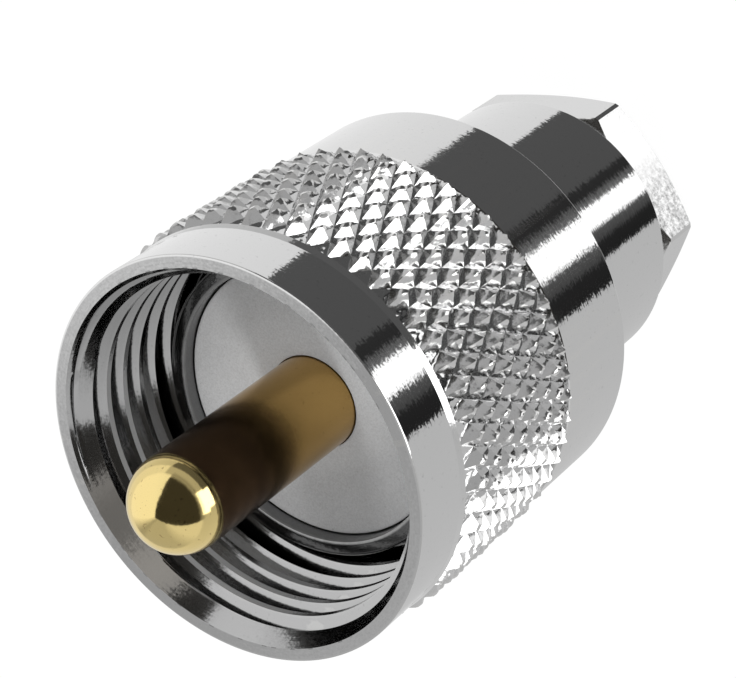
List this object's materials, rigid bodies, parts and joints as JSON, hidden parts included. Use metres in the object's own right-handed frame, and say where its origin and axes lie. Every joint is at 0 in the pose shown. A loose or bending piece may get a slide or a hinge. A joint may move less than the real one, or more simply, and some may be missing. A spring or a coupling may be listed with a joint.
{
  "type": "uhf connector",
  "caption": "Coaxial plug with a knurled screw-on coupling nut, a round-tipped gold pin in a white bead, and a hexagonal cable clamp nut.",
  "frame": {"origin": "middle of the clamp nut's rear face, on the connector's axis", "axes": "+Z along the connector's axis towards the tip of the pin; +X through a corner of the hexagon"},
  "size_m": [0.018, 0.018, 0.0329],
  "materials": {
    "nickel": "polished nickel plate over turned brass",
    "gold": "polished gold plate",
    "insulator": "plain turned white bead",
    "rubber": "moulded black rubber",
    "spring_steel": "plain spring steel"
  },
  "bodies": {
    "plug": {"clamp_nut": "nickel", "slip_washer": "nickel", "clamp_gasket": "rubber", "braid_clamp": "nickel", "plug_body": "nickel", "front_insulator": "insulator", "rear_insulator": "insulator", "center_pin": "gold"},
    "ring": {"retaining_ring": "spring_steel"},
    "nut": {"coupling_nut": "nickel"}
  },
  "joints": [
    {"name": "nut_slide", "type": "slide", "parent": "plug", "child": "ring", "axis": [0, 0, 1], "range_m": [0, 0.0012]},
    {"name": "nut_spin", "type": "hinge", "parent": "ring", "child": "nut", "pos_m": [0, 0, 0.015], "axis": [0, 0, 1], "continuous": true}
  ]
}
